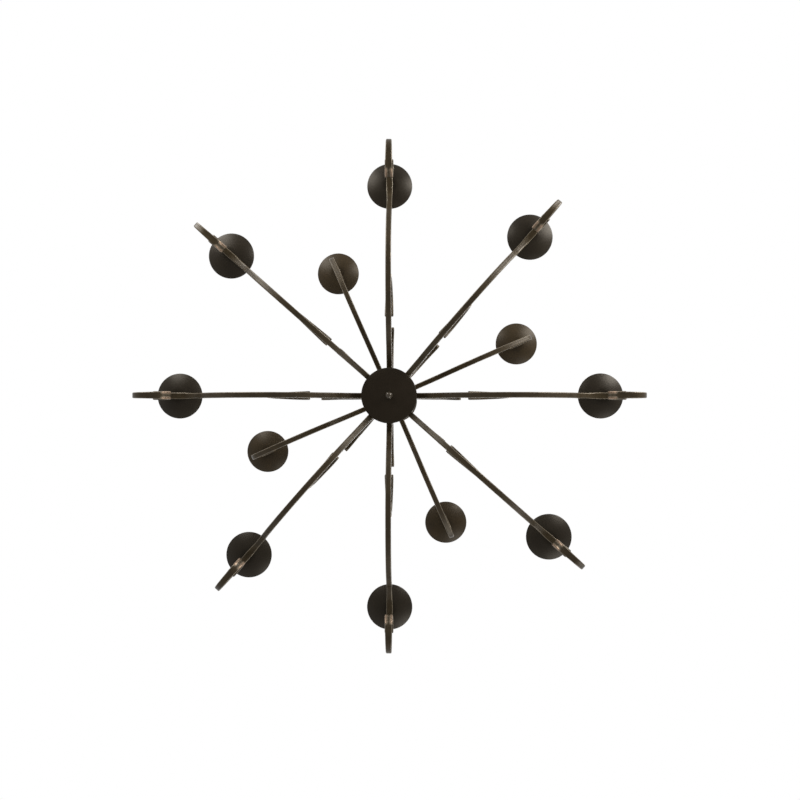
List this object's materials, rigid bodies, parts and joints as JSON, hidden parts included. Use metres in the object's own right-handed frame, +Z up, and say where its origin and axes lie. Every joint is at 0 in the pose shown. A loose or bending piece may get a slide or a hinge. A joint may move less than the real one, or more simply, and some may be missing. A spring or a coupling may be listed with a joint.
{
  "type": "chandelier",
  "caption": "Two-tier wrought-iron chandelier with scrolled arms, drip dishes and candle lights, hung by a chain from a ceiling canopy.",
  "frame": {"origin": "middle of the crossbar's top face, in the ceiling plane, on the column's axis", "axes": "+Z up into the ceiling, +X along the crossbar and along the first arm of the fixed frame"},
  "size_m": [1.0672, 1.0672, 0.9659],
  "materials": {
    "wrought_iron": "forged steel with a hand-rubbed dark bronze paint, satin, rubbed lighter on tips and bends",
    "dark_iron": "the same paint without rubbing, semi-gloss",
    "zinc_steel": "zinc-plated, threaded or turned, satin",
    "candle": "ivory candle sleeve, matt",
    "socket": "dark moulded lamp socket, matt",
    "lamp": "warm white candle lamp, lit"
  },
  "bodies": {
    "ceiling_mount": {"crossbar": "zinc_steel", "ceiling_nipple": "zinc_steel", "nipple_nuts": "zinc_steel", "canopy": "wrought_iron", "canopy_collar": "wrought_iron", "canopy_loop": "wrought_iron"},
    "link_1": {"chain_link_1": "wrought_iron"},
    "link_2": {"chain_link_2": "wrought_iron"},
    "link_3": {"chain_link_3": "wrought_iron"},
    "link_4": {"chain_link_4": "wrought_iron"},
    "link_5": {"chain_link_5": "wrought_iron"},
    "column": {"fixture_loop": "wrought_iron", "top_cap": "wrought_iron", "column_tube": "wrought_iron", "column_knop": "wrought_iron", "centre_rod": "zinc_steel", "column_vase": "wrought_iron", "hub_bush": "zinc_steel", "hub_washer": "zinc_steel", "hub_disc": "dark_iron", "finial": "dark_iron", "fixed_ring": "wrought_iron", "fixed_arm_1": "wrought_iron", "fixed_arm_2": "wrought_iron", "fixed_arm_3": "wrought_iron", "fixed_arm_4": "wrought_iron", "fixed_scroll_1": "wrought_iron", "fixed_scroll_2": "wrought_iron", "fixed_scroll_3": "wrought_iron", "fixed_scroll_4": "wrought_iron", "fixed_dishes": "wrought_iron", "fixed_nipples": "zinc_steel", "fixed_sockets": "socket", "fixed_candles": "candle", "fixed_bulbs": "lamp"},
    "swivel_frame": {"swivel_ring": "wrought_iron", "swivel_arm_1": "wrought_iron", "swivel_arm_2": "wrought_iron", "swivel_arm_3": "wrought_iron", "swivel_arm_4": "wrought_iron", "swivel_scroll_1": "wrought_iron", "swivel_scroll_2": "wrought_iron", "swivel_scroll_3": "wrought_iron", "swivel_scroll_4": "wrought_iron", "swivel_dishes": "wrought_iron", "swivel_nipples": "zinc_steel", "swivel_sockets": "socket", "swivel_candles": "candle", "swivel_bulbs": "lamp"},
    "upper_frame": {"upper_ring": "wrought_iron", "upper_arm_1": "wrought_iron", "upper_arm_2": "wrought_iron", "upper_arm_3": "wrought_iron", "upper_arm_4": "wrought_iron", "upper_dishes": "wrought_iron", "upper_nipples": "zinc_steel", "upper_sockets": "socket", "upper_candles": "candle", "upper_bulbs": "lamp"}
  },
  "joints": [
    {"name": "link_1_swing", "type": "hinge", "parent": "ceiling_mount", "child": "link_1", "pos_m": [0, 0, -0.073], "axis": [1, 0, 0], "range_deg": [-15, 15]},
    {"name": "link_2_swing", "type": "hinge", "parent": "link_1", "child": "link_2", "pos_m": [0, 0, -0.1062], "axis": [0, 1, 0], "range_deg": [-15, 15]},
    {"name": "link_3_swing", "type": "hinge", "parent": "link_2", "child": "link_3", "pos_m": [0, 0, -0.1399], "axis": [1, 0, 0], "range_deg": [-15, 15]},
    {"name": "link_4_swing", "type": "hinge", "parent": "link_3", "child": "link_4", "pos_m": [0, 0, -0.1736], "axis": [0, 1, 0], "range_deg": [-15, 15]},
    {"name": "link_5_swing", "type": "hinge", "parent": "link_4", "child": "link_5", "pos_m": [0, 0, -0.2073], "axis": [1, 0, 0], "range_deg": [-15, 15]},
    {"name": "column_swing", "type": "hinge", "parent": "link_5", "child": "column", "pos_m": [0, 0, -0.241], "axis": [0, 1, 0], "range_deg": [-15, 15]},
    {"name": "lower_frame_swivel", "type": "hinge", "parent": "column", "child": "swivel_frame", "pos_m": [0, 0, -0.85727], "axis": [0, 0, 1], "range_deg": [-26, 33]},
    {"name": "upper_frame_swivel", "type": "hinge", "parent": "column", "child": "upper_frame", "pos_m": [0, 0, -0.60104], "axis": [0, 0, 1], "range_deg": [-45, 45]}
  ]
}
